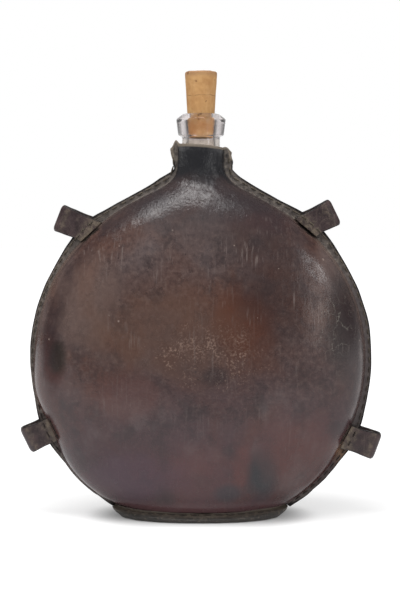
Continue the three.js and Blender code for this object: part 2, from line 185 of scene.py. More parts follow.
def loop_frame(place, lean, reach):
    """Seat of a loop on the seam's edge, and its directions along and across the strap."""
    angle = math.radians(place)
    turn = angle + math.radians(lean)
    rise = SEAM_UPPER_RISE if math.sin(angle) > 0 else SEAM_LOWER_RISE
    return {
        "seat": Vector((SEAM_RADIUS * math.cos(angle), 0, SEAM_LEVEL + rise * math.sin(angle))),
        "along": Vector((math.cos(turn), 0, math.sin(turn))),
        "across": Vector((-math.sin(turn), 0, math.cos(turn))),
        "lean": math.radians(lean),
        "reach": reach,
    }


LOOP_FRAMES = {name: loop_frame(**loop) for name, loop in LOOPS.items()}


def seam_outward(point):
    """Direction from the middle of the body to a point of the seam."""
    return Vector((point.x, 0, point.z - SEAM_LEVEL)).normalized()


# Shader nodes


class Nodes:
    """Short calls that place and join the nodes of one shader tree."""

    def __init__(self, tree):
        self.tree = tree

    def add(self, kind, settings=None, **values):
        node = self.tree.nodes.new(kind)
        for name, setting in (settings or {}).items():
            setattr(node, name, setting)
        for name, value in values.items():
            self.put(value, node.inputs[name.replace("_", " ")])
        return node

    def put(self, value, socket):
        """Joins a node's output to a socket, or sets a plain value on it."""
        if isinstance(value, bpy.types.NodeSocket):
            self.tree.links.new(value, socket)
        else:
            socket.default_value = value

    def math(self, operation, a, b=0, clamp=False):
        node = self.add("ShaderNodeMath", {"operation": operation, "use_clamp": clamp})
        self.put(a, node.inputs[0])
        self.put(b, node.inputs[1])
        return node.outputs[0]

    def product(self, *values):
        result = values[0]
        for value in values[1:]:
            result = self.math("MULTIPLY", result, value)
        return result

    def vector(self, operation, a, b=(0, 0, 0), out="Vector"):
        node = self.add("ShaderNodeVectorMath", {"operation": operation})
        self.put(a, node.inputs[0])
        self.put(b, node.inputs[1])
        return node.outputs[out]

    def span(self, value, low, high, to_low=0.0, to_high=1.0):
        """A value's smooth change from to_low at low to to_high at high."""
        node = self.add("ShaderNodeMapRange", {"interpolation_type": "SMOOTHSTEP"})
        self.put(value, node.inputs["Value"])
        node.inputs["From Min"].default_value = low
        node.inputs["From Max"].default_value = high
        node.inputs["To Min"].default_value = to_low
        node.inputs["To Max"].default_value = to_high
        return node.outputs["Result"]

    def between(self, value, rise, fall):
        """1 between two smooth edges, each given by where it starts and ends."""
        return self.product(self.span(value, *rise), self.span(value, *fall, 1.0, 0.0))

    def noise(self, vector, scale, detail=2.0, roughness=0.5, distortion=0.0):
        node = self.add("ShaderNodeTexNoise", Vector=vector, Scale=scale, Detail=detail)
        node.inputs["Roughness"].default_value = roughness
        node.inputs["Distortion"].default_value = distortion
        return node.outputs["Fac"]

    def stretch(self, vector, scale):
        """Coordinates scaled by a different amount on each axis."""
        node = self.add("ShaderNodeMapping", Vector=vector, Scale=scale)
        return node.outputs["Vector"]

    def mix(self, share, a, b):
        """A colour that goes from a to b."""
        node = self.add("ShaderNodeMix", {"data_type": "RGBA"})
        self.put(share, node.inputs[0])
        self.put(a, node.inputs[6])
        self.put(b, node.inputs[7])
        return node.outputs[2]

    def layer(self, below, tone, *masks):
        """A tone laid over a colour, as strongly as the product of the masks."""
        return self.mix(self.product(*masks), below, tone)

    def blend(self, share, a, b):
        """A value that goes from a to b."""
        return self.math("ADD", a, self.product(share, self.math("SUBTRACT", b, a)))

    def group(self, tree, **values):
        return self.add("ShaderNodeGroup", {"node_tree": tree}, **values).outputs

    def bump(self, height, strength, distance, normal=None):
        node = self.add("ShaderNodeBump", Strength=strength, Distance=distance, Height=height)
        if normal is not None:
            self.put(normal, node.inputs["Normal"])
        return node.outputs["Normal"]

    def object_place(self):
        return self.add("ShaderNodeTexCoord").outputs["Object"]

    def split(self, vector):
        """The X, Y and Z of a vector."""
        return self.add("ShaderNodeSeparateXYZ", Vector=vector).outputs

    def attribute(self, name):
        return self.add("ShaderNodeAttribute", {"attribute_name": name}).outputs["Fac"]


def paint(red, green, blue):
    """A shader colour from the three values of a screen colour, 0 to 255."""
    shares = [value / 255 for value in (red, green, blue)]
    linear = [s / 12.92 if s <= 0.04045 else ((s + 0.055) / 1.055) ** 2.4 for s in shares]
    return (*linear, 1)


def new_group(name, inputs, outputs):
    """A shader node group with named sockets, and its input and output nodes."""
    tree = bpy.data.node_groups.new(name, "ShaderNodeTree")
    for label, kind, default in inputs:
        socket = tree.interface.new_socket(label, in_out="INPUT", socket_type=kind)
        socket.default_value = default
    for label, kind in outputs:
        tree.interface.new_socket(label, in_out="OUTPUT", socket_type=kind)
    given = tree.nodes.new("NodeGroupInput").outputs
    result = tree.nodes.new("NodeGroupOutput").inputs
    return tree, Nodes(tree), given, result


FLOAT = "NodeSocketFloat"
VECTOR = "NodeSocketVector"


def make_hide_grain():
    """Pebbled grain of hide with fine creases between the pebbles."""
    tree, nodes, given, result = new_group(
        "hide grain",
        [("Vector", VECTOR, (0, 0, 0)), ("Scale", FLOAT, 900.0)],
        [("Height", FLOAT)],
    )
    wobble = nodes.product(nodes.noise(given["Vector"], 260.0), 0.001)
    shift = nodes.add("ShaderNodeCombineXYZ", X=wobble).outputs[0]
    shifted = nodes.vector("ADD", given["Vector"], shift)
    cells = nodes.add("ShaderNodeTexVoronoi", {"feature": "SMOOTH_F1"}, Vector=shifted, Smoothness=0.4)
    nodes.put(given["Scale"], cells.inputs["Scale"])
    fine = nodes.noise(given["Vector"], 2600.0, detail=3.0)
    pebble = nodes.math("SUBTRACT", 1.0, cells.outputs["Distance"])
    nodes.put(nodes.math("ADD", pebble, nodes.product(fine, 0.5)), result["Height"])
    return tree


def make_wear():
    """Long fine scratches along Z, and small bare specks."""
    tree, nodes, given, result = new_group(
        "scratches and specks",
        [("Vector", VECTOR, (0, 0, 0)), ("Amount", FLOAT, 0.5)],
        [("Scratches", FLOAT), ("Specks", FLOAT)],
    )
    lines = nodes.noise(nodes.stretch(given["Vector"], (900, 300, 60)), 1.0, detail=3.0, roughness=0.6)
    clusters = nodes.noise(given["Vector"], 34.0, detail=2.0)
    strength = nodes.product(nodes.span(lines, 0.55, 0.7), nodes.span(clusters, 0.42, 0.66))
    nodes.put(nodes.math("MULTIPLY", strength, given["Amount"], clamp=True), result["Scratches"])
    cells = nodes.add("ShaderNodeTexVoronoi", Vector=given["Vector"], Scale=150.0)
    size = nodes.span(nodes.noise(given["Vector"], 90.0), 0.5, 0.72, 0.0, 0.13)
    dots = nodes.math("LESS_THAN", cells.outputs["Distance"], size)
    nodes.put(nodes.math("MULTIPLY", dots, given["Amount"], clamp=True), result["Specks"])
    return tree


def make_patch():
    """A ragged stain round a centre."""
    tree, nodes, given, result = new_group(
        "ragged patch",
        [
            ("Vector", VECTOR, (0, 0, 0)),
            ("Centre", VECTOR, (0, 0, 0)),
            ("Reach", VECTOR, (0.02, 0.05, 0.02)),
            ("Ragged", FLOAT, 0.8),
        ],
        [("Mask", FLOAT)],
    )
    offset = nodes.vector("SUBTRACT", given["Vector"], given["Centre"])
    distance = nodes.vector("LENGTH", nodes.vector("DIVIDE", offset, given["Reach"]), out="Value")
    edge = nodes.math("SUBTRACT", nodes.noise(given["Vector"], 60.0, detail=4.0, roughness=0.6), 0.5)
    ragged = nodes.math("ADD", distance, nodes.product(edge, given["Ragged"]))
    nodes.put(nodes.span(ragged, 0.35, 1.0, 1.0, 0.0), result["Mask"])
    return tree


def make_leg_end_shade():
    """A painted shadow: the dark line beside the seam at the end of a loop's leg, where the gap to the
    rising cover is in shade.
    """
    tree, nodes, given, result = new_group(
        "loop slit",
        [
            ("Vector", VECTOR, (0, 0, 0)),
            ("Centre", VECTOR, (0, 0, 0)),
            ("Along", VECTOR, (1, 0, 0)),
            ("Inward", VECTOR, (0, 0, -1)),
        ],
        [("Mask", FLOAT)],
    )
    offset = nodes.vector("SUBTRACT", given["Vector"], given["Centre"])
    run = nodes.math("ABSOLUTE", nodes.vector("DOT_PRODUCT", offset, given["Along"], out="Value"))
    width = nodes.vector("DOT_PRODUCT", offset, given["Inward"], out="Value")
    wander = nodes.math("SUBTRACT", nodes.noise(given["Vector"], 190.0), 0.5)
    across = nodes.math("ABSOLUTE", nodes.math("ADD", width, nodes.product(wander, 0.002)))
    length = nodes.span(run, 0.005, 0.0085, 1.0, 0.0)
    nodes.put(nodes.product(length, nodes.span(across, 0.0005, 0.0013, 1.0, 0.0)), result["Mask"])
    return tree


HIDE_GRAIN = make_hide_grain()
WEAR = make_wear()
PATCH = make_patch()
LEG_END_SHADE = make_leg_end_shade()

# Stains of the cover, with painted light and shade among them where marked: tone, centre, reach along each
# axis, strength, and raggedness where it isn't usual
STAINS = [
    ((84, 45, 29), (0.024, -0.036, 0.117), (0.028, 0.05, 0.03), 0.8),  # tan, right of the middle
    ((112, 91, 82), (-0.07, -0.03, 0.13), (0.03, 0.05, 0.04), 0.4),  # pale, left shoulder: partly a stain, partly painted light from the left
    ((70, 37, 35), (-0.09, -0.02, 0.086), (0.013, 0.05, 0.036), 0.65),  # red, left edge: a stain, deepened as painted shade on the wall
    ((116, 98, 94), (-0.096, -0.012, 0.128), (0.008, 0.05, 0.024), 0.4),  # painted highlight on the wall at the left edge
    ((38, 36, 32), (-0.0845, -0.02, 0.099), (0.008, 0.05, 0.015), 0.8),  # painted shade on the wall at the left edge
    ((48, 35, 36), (0.045, -0.036, 0.145), (0.036, 0.05, 0.05), 0.55),  # dark, right shoulder
    ((62, 36, 38), (0.038, -0.02, 0.181), (0.03, 0.05, 0.015), 0.5),  # red, beside the neck
    ((93, 70, 60), (-0.02, -0.036, 0.112), (0.06, 0.05, 0.035), 0.5),  # brown, middle
    ((52, 41, 41), (0.024, -0.034, 0.166), (0.034, 0.05, 0.013), 0.45),  # dark, under the neck
    ((88, 54, 49), (-0.041, -0.036, 0.077), (0.03, 0.05, 0.02), 0.45),  # red, left of the middle
    ((84, 48, 48), (-0.004, -0.034, 0.026), (0.03, 0.05, 0.02), 0.45),  # red, above the base
    ((28, 29, 35), (0.036, -0.034, 0.03), (0.013, 0.05, 0.021), 0.95, 0.5),  # ink, low on the right
    ((98, 52, 46), (0.0235, -0.034, 0.034), (0.008, 0.05, 0.018), 0.38),  # red, beside the ink
    ((88, 50, 49), (-0.003, -0.034, 0.039), (0.024, 0.05, 0.014), 0.25),  # red, low in the middle
    ((74, 52, 68), (-0.04, -0.033, 0.026), (0.04, 0.05, 0.02), 0.45),  # violet, low on the left
    ((38, 37, 44), (0.016, -0.034, 0.018), (0.012, 0.05, 0.008), 0.65, 0.5),  # ink, above the base
    ((104, 94, 92), (0.078, -0.02, 0.152), (0.014, 0.05, 0.026), 0.5),  # painted highlight on the right shoulder
    ((96, 57, 53), (0.055, -0.03, 0.045), (0.035, 0.05, 0.03), 0.35),  # red, low on the right
    ((56, 50, 50), (0.084, -0.025, 0.118), (0.017, 0.05, 0.045), 0.8),  # grey, right edge
]


def new_material(name):
    material = bpy.data.materials.new(name)
    material.use_nodes = True
    nodes = Nodes(material.node_tree)
    return material, nodes, material.node_tree.nodes["Principled BSDF"].inputs


def make_cover_leather():
    """Old moulded cowhide: mottled red-brown, black at the neck, olive on the worn flange."""
    material, nodes, shader = new_material("cover leather")
    place = nodes.object_place()
    axes = nodes.split(place)
    level = axes["Z"]
    depth = nodes.math("ABSOLUTE", axes["Y"])
    cut = nodes.attribute("cut")

    def patch(centre, reach, ragged):
        return nodes.group(PATCH, Vector=place, Centre=centre, Reach=reach, Ragged=ragged)["Mask"]

    def stain(below, tone, centre, reach, strength, ragged=0.8):
        return nodes.layer(below, paint(*tone), patch(centre, reach, ragged), strength)

    # Mottled and stained ground
    broad = nodes.noise(place, 17.0, detail=3.0, roughness=0.55, distortion=0.6)
    medium = nodes.noise(place, 62.0, detail=5.0, roughness=0.62)
    bloom = nodes.noise(nodes.stretch(place, (44, 44, -30)), 1.0, detail=4.0, roughness=0.6)
    fine = nodes.noise(place, 380.0, detail=4.0, roughness=0.65)
    upper = nodes.mix(nodes.span(broad, 0.4, 0.6), paint(80, 65, 63), paint(85, 60, 52))
    lower = nodes.mix(nodes.span(broad, 0.4, 0.6), paint(60, 34, 40), paint(68, 33, 32))
    colour = nodes.mix(nodes.span(level, 0.03, 0.12), lower, upper)
    colour = nodes.layer(colour, paint(40, 30, 33), nodes.span(medium, 0.45, 0.7, 0.0, 0.65))
    colour = nodes.layer(colour, paint(98, 87, 87), nodes.span(bloom, 0.5, 0.72, 0.0, 0.4))
    grainy = nodes.span(level, 0.04, 0.11, 0.25, 1.0)
    colour = nodes.layer(colour, paint(44, 32, 33), grainy, nodes.span(fine, 0.34, 0.5, 0.4, 0.0))
    colour = nodes.layer(colour, paint(108, 90, 84), grainy, nodes.span(fine, 0.5, 0.66, 0.0, 0.35))
    for row in STAINS:
        colour = stain(colour, *row)

    # Painted shade: a dark band on the steep wall round the face, eased high on the right; and a paler foot
    # above the base
    # Where the painted wall shade is made weaker: high on the right
    polished = nodes.product(nodes.span(axes["X"], 0.02, 0.06), nodes.span(level, 0.125, 0.14))
    wall_shade = nodes.product(
        nodes.between(depth, (0.012, 0.0165), (0.019, 0.026)),
        nodes.span(level, 0.05, 0.1, 0.1, 0.5),
        nodes.math("SUBTRACT", 1.0, nodes.product(polished, 0.85)),
        nodes.span(medium, 0.25, 0.55, 0.4, 1.0),
    )
    colour = nodes.layer(colour, paint(38, 24, 28), wall_shade)
    # Painted light: the foot above the base is paler, offsetting the shade in the corner at the base's rim
    colour = nodes.layer(colour, paint(102, 77, 79), nodes.span(level, 0.007, 0.014, 0.65, 0.0))

    # Scuff in the middle, scrapes on the right, scratches, specks and pits
    scuff_area = patch((0.005, -0.036, 0.1), (0.046, 0.05, 0.024), 1.1)
    dense = patch((0.006, -0.036, 0.105), (0.03, 0.05, 0.013), 1.2)
    crumbs = nodes.noise(place, 800.0, detail=4.0, roughness=0.7)
    crumbs = nodes.math("ADD", crumbs, nodes.product(dense, 0.06))
    broken = nodes.span(nodes.noise(place, 170.0, detail=3.0), 0.38, 0.6, 0.2, 1.0)
    scuffed = nodes.product(scuff_area, nodes.span(crumbs, 0.53, 0.66), broken)
    colour = nodes.layer(colour, paint(62, 42, 36), scuff_area, 0.2)
    colour = nodes.layer(colour, paint(140, 114, 100), scuffed, 0.7)
    colour = stain(colour, (46, 36, 38), (0.008, -0.036, 0.089), (0.01, 0.05, 0.007), 0.6, 1.2)
    veins = nodes.math("ABSOLUTE", nodes.math("SUBTRACT", nodes.noise(place, 120.0, detail=3.0), 0.5))
    scraped = patch((0.08, -0.022, 0.116), (0.016, 0.05, 0.028), 1.1)
    scrapes = nodes.product(scraped, 0.5, nodes.span(veins, 0.002, 0.009, 1.0, 0.0))
    colour = nodes.layer(colour, paint(142, 138, 128), scrapes)
    wear = nodes.group(WEAR, Vector=place, Amount=nodes.span(level, 0.03, 0.13, 0.3, 1.0))
    rubbed = nodes.span(patch((0.02, -0.036, 0.155), (0.03, 0.05, 0.02), 1.2), 0.0, 1.0, 0.36, 0.46)
    colour = nodes.layer(colour, paint(130, 118, 113), wear["Scratches"], rubbed)
    colour = nodes.layer(colour, paint(150, 134, 124), wear["Specks"], 0.6)
    pits = nodes.group(WEAR, Vector=nodes.stretch(place, (1.7, 1.7, -1.3)), Amount=1.0)["Specks"]
    colour = nodes.layer(colour, paint(36, 28, 28), pits, 0.6)

    # Blackened neck
    smoke = nodes.math("ADD", level, nodes.product(nodes.math("SUBTRACT", medium, 0.5), 0.016))
    colour = nodes.layer(colour, paint(50, 44, 46), nodes.span(smoke, 0.16, 0.19, 0.0, 0.8))
    colour = nodes.layer(colour, paint(37, 37, 40), nodes.span(smoke, 0.196, 0.209))

    # Painted highlight on a band inside the flange; worn flange with a dark cut edge, rim of the collar,
    # and painted shadow at the ends of the loops' legs
    # Painted highlight: a paler band where the face turns into the flange, stronger higher up and gone at
    # the collar
    band = nodes.product(
        nodes.between(depth, (0.003, 0.005), (0.007, 0.0095)),
        nodes.span(level, 0.165, 0.19, 1.0, 0.0),
        nodes.span(level, 0.09, 0.14, 0.1, 0.6),
    )
    colour = nodes.layer(colour, paint(106, 90, 82), band)
    flange = nodes.span(depth, 0.0026, 0.0042, 1.0, 0.0)
    worn = nodes.mix(nodes.span(medium, 0.35, 0.65), paint(76, 69, 64), paint(107, 98, 92))
    worn = nodes.layer(worn, paint(124, 115, 104), nodes.span(fine, 0.5, 0.64, 0.0, 0.8))
    worn = nodes.layer(worn, paint(42, 36, 33), nodes.span(fine, 0.36, 0.5, 0.8, 0.0))
    worn = nodes.layer(worn, paint(48, 41, 38), nodes.span(level, 0.03, 0.1, 0.5, 0.0))
    # The flange is darker on the right below the shoulder, and paler high on the left
    right_flange_low = nodes.span(level, 0.135, 0.155, 0.75, 0.0)
    worn = nodes.layer(worn, paint(74, 66, 67), nodes.span(axes["X"], 0.05, 0.08), right_flange_low)
    left_flange_high = nodes.span(level, 0.12, 0.16, 0.0, 0.4)
    worn = nodes.layer(worn, paint(118, 109, 102), nodes.span(axes["X"], -0.06, -0.03, 1.0, 0.0), left_flange_high)
    colour = nodes.layer(colour, worn, flange, 0.85)
    colour = stain(colour, (126, 98, 76), (0.089, 0.0, 0.037), (0.012, 0.02, 0.012), 0.75, 1.2)
    edge = nodes.span(cut, 0.6, 0.92)
    colour = nodes.layer(colour, paint(16, 14, 14), edge, 0.92)
    rim = nodes.product(nodes.span(cut, 0.3, 0.6), nodes.span(level, 0.213, 0.2145))
    colour = nodes.layer(colour, paint(122, 112, 100), rim, 0.9)
    in_front = nodes.math("LESS_THAN", axes["Y"], 0.0)
    for loop in LOOP_FRAMES.values():
        inward = -seam_outward(loop["seat"])
        along = Vector((-inward.z, 0, inward.x))
        # Painted shadow at the end of each loop's leg, on the front face only
        centre = loop["seat"] + inward * LEG_END_SHADE_DEPTH
        leg_end_shade = nodes.group(LEG_END_SHADE, Vector=place, Centre=centre, Along=along, Inward=inward)["Mask"]
        colour = nodes.layer(colour, paint(14, 10, 9), leg_end_shade, in_front)
    nodes.put(colour, shader["Base Color"])

    # Gloss, which is gone in dry patches
    rough = nodes.span(medium, 0.3, 0.7, 0.2, 0.31)
    rough = nodes.math("ADD", rough, nodes.product(scuffed, 0.2))
    rough = nodes.math("ADD", rough, nodes.product(flange, 0.22), clamp=True)
    nodes.put(rough, shader["Roughness"])
    left_dry = patch((-0.087, -0.016, 0.1), (0.01, 0.05, 0.03), 0.8)
    right_dry = patch((0.1, -0.012, 0.07), (0.009, 0.05, 0.04), 0.8)
    foot_dry = patch((0.075, -0.006, 0.03), (0.032, 0.016, 0.026), 0.6)
    dry = nodes.math("MAXIMUM", left_dry, nodes.product(right_dry, 0.4))
    dry = nodes.math("MAXIMUM", dry, nodes.product(foot_dry, 0.8))
    dry = nodes.math("MAXIMUM", dry, edge)
    nodes.put(nodes.span(dry, 0.0, 1.0, 0.5, 0.16), shader["Specular IOR Level"])

    # Grain, upright creases, and shrunken wrinkles at the neck
    grain = nodes.group(HIDE_GRAIN, Vector=place, Scale=850.0)["Height"]
    normal = nodes.bump(grain, 0.12, 0.0003)
    creases = nodes.noise(nodes.stretch(place, (260, 260, 40)), 1.0, detail=4.0, roughness=0.6)
    normal = nodes.bump(creases, nodes.span(level, 0.05, 0.2, 0.06, 0.3), 0.0008, normal)
    tight = nodes.stretch(place, (520, 520, 300))
    wrinkles = nodes.noise(tight, 1.0, detail=3.0, roughness=0.6, distortion=1.2)
    normal = nodes.bump(wrinkles, nodes.span(level, 0.172, 0.196, 0.0, 0.42), 0.0009, normal)
    nodes.put(normal, shader["Normal"])
    return material


def make_strap_leather(name, dark, light, rubbed, edge):
    """Worn strap leather: dull, rubbed pale in places, with dark cut edges."""
    material, nodes, shader = new_material(name)
    place = nodes.object_place()
    cut = nodes.attribute("cut")
    worn = nodes.attribute("worn")
    tone = nodes.noise(place, 120.0, detail=5.0, roughness=0.65)
    speck = nodes.noise(place, 520.0, detail=3.0, roughness=0.6)
    colour = nodes.mix(nodes.span(tone, 0.35, 0.65), dark, light)
    wear = nodes.group(WEAR, Vector=place, Amount=0.7)
    colour = nodes.layer(colour, rubbed, wear["Scratches"], 0.4)
    colour = nodes.layer(colour, rubbed, nodes.span(speck, 0.52, 0.68, 0.0, 0.2))
    patchy = nodes.product(nodes.span(tone, 0.3, 0.55, 0.4, 1.0), nodes.span(speck, 0.38, 0.6, 0.25, 1.0))
    colour = nodes.layer(colour, rubbed, worn, patchy)
    colour = nodes.layer(colour, edge, nodes.span(cut, 0.5, 0.95), 0.85)
    nodes.put(colour, shader["Base Color"])
    nodes.put(nodes.span(tone, 0.3, 0.7, 0.42, 0.58), shader["Roughness"])
    grain = nodes.group(HIDE_GRAIN, Vector=place, Scale=1100.0)["Height"]
    nodes.put(nodes.bump(grain, 0.25, 0.0003), shader["Normal"])
    return material


def make_thread():
    """Waxed linen, laid in two strands."""
    material, nodes, shader = new_material("waxed thread")
    place = nodes.object_place()
    tone = nodes.noise(place, 700.0, detail=3.0)
    level = nodes.split(place)["Z"]
    # Darker low down, paler higher up
    lower_thread = nodes.mix(nodes.span(tone, 0.3, 0.7), paint(34, 27, 25), paint(60, 49, 43))
    upper_thread = nodes.mix(nodes.span(tone, 0.3, 0.7), paint(62, 54, 46), paint(96, 86, 72))
    nodes.put(nodes.mix(nodes.span(level, 0.05, 0.13), lower_thread, upper_thread), shader["Base Color"])
    nodes.put(nodes.span(tone, 0.3, 0.7, 0.55, 0.8), shader["Roughness"])
    lay = nodes.add("ShaderNodeUVMap", {"uv_map": "lay"}).outputs["UV"]
    strands = nodes.add("ShaderNodeTexWave", {"bands_direction": "DIAGONAL"}, Vector=lay, Scale=3.0)
    nodes.put(nodes.bump(strands.outputs["Fac"], 0.6, 0.0002), shader["Normal"])
    return material


def make_glass():
    """Clear old bottle glass with a breath of lavender, a little cloudy inside the neck."""
    material, nodes, shader = new_material("bottle glass")
    place = nodes.object_place()
    clouds = nodes.noise(place, 160.0, detail=4.0, roughness=0.6)
    level = nodes.split(place)["Z"]
    lip = nodes.span(level, 0.2255, 0.2275)
    neck_tint = nodes.mix(nodes.span(clouds, 0.3, 0.7), paint(212, 204, 197), paint(231, 224, 218))
    lip_tint = nodes.mix(nodes.span(clouds, 0.3, 0.7), paint(200, 193, 192), paint(224, 217, 217))
    nodes.put(nodes.mix(lip, neck_tint, lip_tint), shader["Base Color"])
    nodes.put(nodes.span(clouds, 0.35, 0.75, 0.08, 0.22), shader["Roughness"])
    shader["Transmission Weight"].default_value = 1.0
    shader["IOR"].default_value = 1.5
    waves = nodes.noise(nodes.stretch(place, (120, 120, 260)), 1.0, detail=2.0)
    nodes.put(nodes.bump(waves, 0.12, 0.0006), shader["Normal"])
    clear = nodes.add("ShaderNodeBsdfTransparent")
    shadow = nodes.add("ShaderNodeLightPath").outputs["Is Shadow Ray"]
    both = nodes.add("ShaderNodeMixShader")
    nodes.put(shadow, both.inputs[0])
    nodes.put(nodes.tree.nodes["Principled BSDF"].outputs[0], both.inputs[1])
    nodes.put(clear.outputs[0], both.inputs[2])
    nodes.put(both.outputs[0], nodes.tree.nodes["Material Output"].inputs["Surface"])
    return material


def make_cork():
    """Dry cut cork: tan, with growth lines, dark pores and pale flecks."""
    material, nodes, shader = new_material("cut cork")
    place = nodes.object_place()
    cloud = nodes.noise(place, 130.0, detail=5.0, roughness=0.65)
    lines = nodes.noise(nodes.stretch(place, (620, 620, 90)), 1.0, detail=4.0, roughness=0.6)
    colour = nodes.mix(nodes.span(cloud, 0.3, 0.7), paint(176, 127, 76), paint(201, 157, 104))
    colour = nodes.layer(colour, paint(204, 166, 118), nodes.span(lines, 0.5, 0.75, 0.0, 0.45))
    level = nodes.split(place)["Z"]
    # Painted light: the cork inside the glass is paler, making up for the light that the glass keeps from
    # it
    paler_in_glass = nodes.mix(nodes.span(cloud, 0.35, 0.65), paint(232, 172, 108), paint(248, 208, 150))
    colour = nodes.layer(colour, paler_in_glass, nodes.span(level, 0.239, 0.241, 1.0, 0.0))
    colour = nodes.layer(colour, paint(142, 106, 80), nodes.span(level, 0.262, 0.2664, 0.0, 0.6))
    wander = nodes.product(nodes.math("SUBTRACT", nodes.noise(place, 160.0, detail=3.0), 0.5), 0.004)
    from_crack = nodes.math("SUBTRACT", nodes.math("ADD", level, wander), 0.2521)
    crack = nodes.span(nodes.math("ABSOLUTE", from_crack), 0.0001, 0.0004, 0.7, 0.0)
    colour = nodes.layer(colour, paint(120, 80, 46), crack, nodes.span(cloud, 0.4, 0.55))
    cells = nodes.add("ShaderNodeTexVoronoi", Vector=nodes.stretch(place, (330, 330, 240)), Scale=1.0)
    size = nodes.span(nodes.noise(place, 240.0, detail=2.0), 0.44, 0.7, 0.0, 0.38)
    pores = nodes.math("LESS_THAN", cells.outputs["Distance"], size)
    colour = nodes.layer(colour, paint(116, 74, 40), pores, 0.75)
    nodes.put(colour, shader["Base Color"])
    nodes.put(nodes.span(cloud, 0.3, 0.7, 0.75, 0.9), shader["Roughness"])
    crumbs = nodes.noise(place, 1500.0, detail=4.0, roughness=0.7)
    height = nodes.math("SUBTRACT", crumbs, pores)
    nodes.put(nodes.bump(height, 0.35, 0.0004), shader["Normal"])
    return material


COVER_LEATHER = make_cover_leather()
BASE_LEATHER = make_strap_leather(
    "base leather", paint(42, 38, 36), paint(55, 50, 46), paint(142, 130, 112), paint(70, 62, 54),
)
STRAP_LEATHER = make_strap_leather(
    "loop leather", paint(46, 33, 35), paint(68, 51, 52), paint(114, 101, 86), paint(26, 22, 22),
)
THREAD = make_thread()
GLASS = make_glass()
CORK = make_cork()


# Meshes


def merged_copy(node):
    """A copy of a CAD solid, its loose triangles merged and joined into four-sided faces."""
    bm = bmesh.new()
    bm.from_mesh(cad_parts[node].data)
    bmesh.ops.remove_doubles(bm, verts=bm.verts, dist=1e-6)
    bmesh.ops.join_triangles(
        bm, faces=bm.faces, angle_face_threshold=math.pi, angle_shape_threshold=math.pi,
    )
    return bm


def mark_cut_edges(bm, angle, hold):
    """Keeps a solid's cut edges crisp when it is subdivided, and marks them for the material."""
    crease = bm.edges.layers.float.new("crease_edge")
    cut = bm.verts.layers.float.new("cut")
    for edge in bm.edges:
        if edge.calc_face_angle(0) > angle:
            edge[crease] = hold
            for vert in edge.verts:
                vert[cut] = 1.0


def subdivided(bm, levels):
    """The same mesh after a subdivision surface, fine enough to shape by hand."""
    coarse = bpy.data.meshes.new("coarse")
    bm.to_mesh(coarse)
    bm.free()
    holder = bpy.data.objects.new("coarse", coarse)
    scene.collection.objects.link(holder)
    smooth = holder.modifiers.new("smooth", "SUBSURF")
    smooth.levels = levels
    smooth.render_levels = levels
    graph = bpy.context.evaluated_depsgraph_get()
    fine = bpy.data.meshes.new_from_object(holder.evaluated_get(graph))
    bpy.data.objects.remove(holder)
    bpy.data.meshes.remove(coarse)
    result = bmesh.new()
    result.from_mesh(fine)
    bpy.data.meshes.remove(fine)
    return result


def shape(bm, move):
    """Moves each vertex by what move gives for its place, its normal and its nearness to a cut edge."""
    cut = bm.verts.layers.float.get("cut")
    bm.normal_update()
    moves = [move(v.co, v.normal, v[cut] if cut else 0) for v in bm.verts]
    for vert, step in zip(bm.verts, moves):
        vert.co += step


def add_piece(bm, name, material, body, nodes, levels=0):
    """Makes a mesh a piece of the object, in place of its CAD nodes."""
    mesh = bpy.data.meshes.new(name)
    bm.to_mesh(mesh)
    bm.free()
    mesh.shade_smooth()
    mesh.materials.append(material)
    piece = bpy.data.objects.new(name, mesh)
    scene.collection.objects.link(piece)
    if levels:
        smooth = piece.modifiers.new("smooth", "SUBSURF")
        smooth.levels = levels
        smooth.render_levels = levels
    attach(piece, body)
    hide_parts(*nodes)
    return piece


def flange_move(point, share):
    """How the flange departs from its plain outline: drawn out at the loops, and a little wavy."""
    flat = Vector((point.x, 0, point.z))
    pull = 2.2 * MM * max(bump_at(flat, loop["seat"], 17 * MM) for loop in LOOP_FRAMES.values())
    wave = 0.35 * MM * ripple(flat, 9 * MM, 2) + 0.5 * MM * ripple(flat, 28 * MM, 5)
    swell = 0
    if point.x > 0:
        frayed = 1 - smooth_step(point.z, 34 * MM, 52 * MM)
        wave += frayed * 0.7 * MM * ripple(flat, 4.5 * MM, 8)
        swell = 1.4 * MM * hump(point.z, 17 * MM, 13 * MM)
    below_neck = 1 - smooth_step(point.z, 196 * MM, 206 * MM)
    return seam_outward(point) * share * below_neck * (pull + wave + swell)


def wall_spread(point, cut):
    """How the moulded wall bulges outwards over the flange, most of all low on the left."""
    flat = Vector((point.x, 0, point.z))
    clear = 1 - 0.85 * max(bump_at(flat, loop["seat"], 13 * MM) for loop in LOOP_FRAMES.values())
    if point.x < 0:
        spread = 1.2 + 1.9 * hump(point.z, 72 * MM, 24 * MM) + 1.7 * hump(point.z, 27 * MM, 16 * MM)
    else:
        spread = 0.3 + 0.8 * hump(point.z, 25 * MM, 14 * MM)
    below_neck = 1 - smooth_step(point.z, 186 * MM, 202 * MM)
    above_base = smooth_step(point.z, 6 * MM, 14 * MM)
    depth = 1 - smooth_step(abs(point.y), 5 * MM, 24 * MM)
    outer = smooth_step(abs(point.y), 0.5 * MM, 2 * MM) * (1 - cut)
    return seam_outward(point) * spread * clear * below_neck * above_base * depth * outer * MM


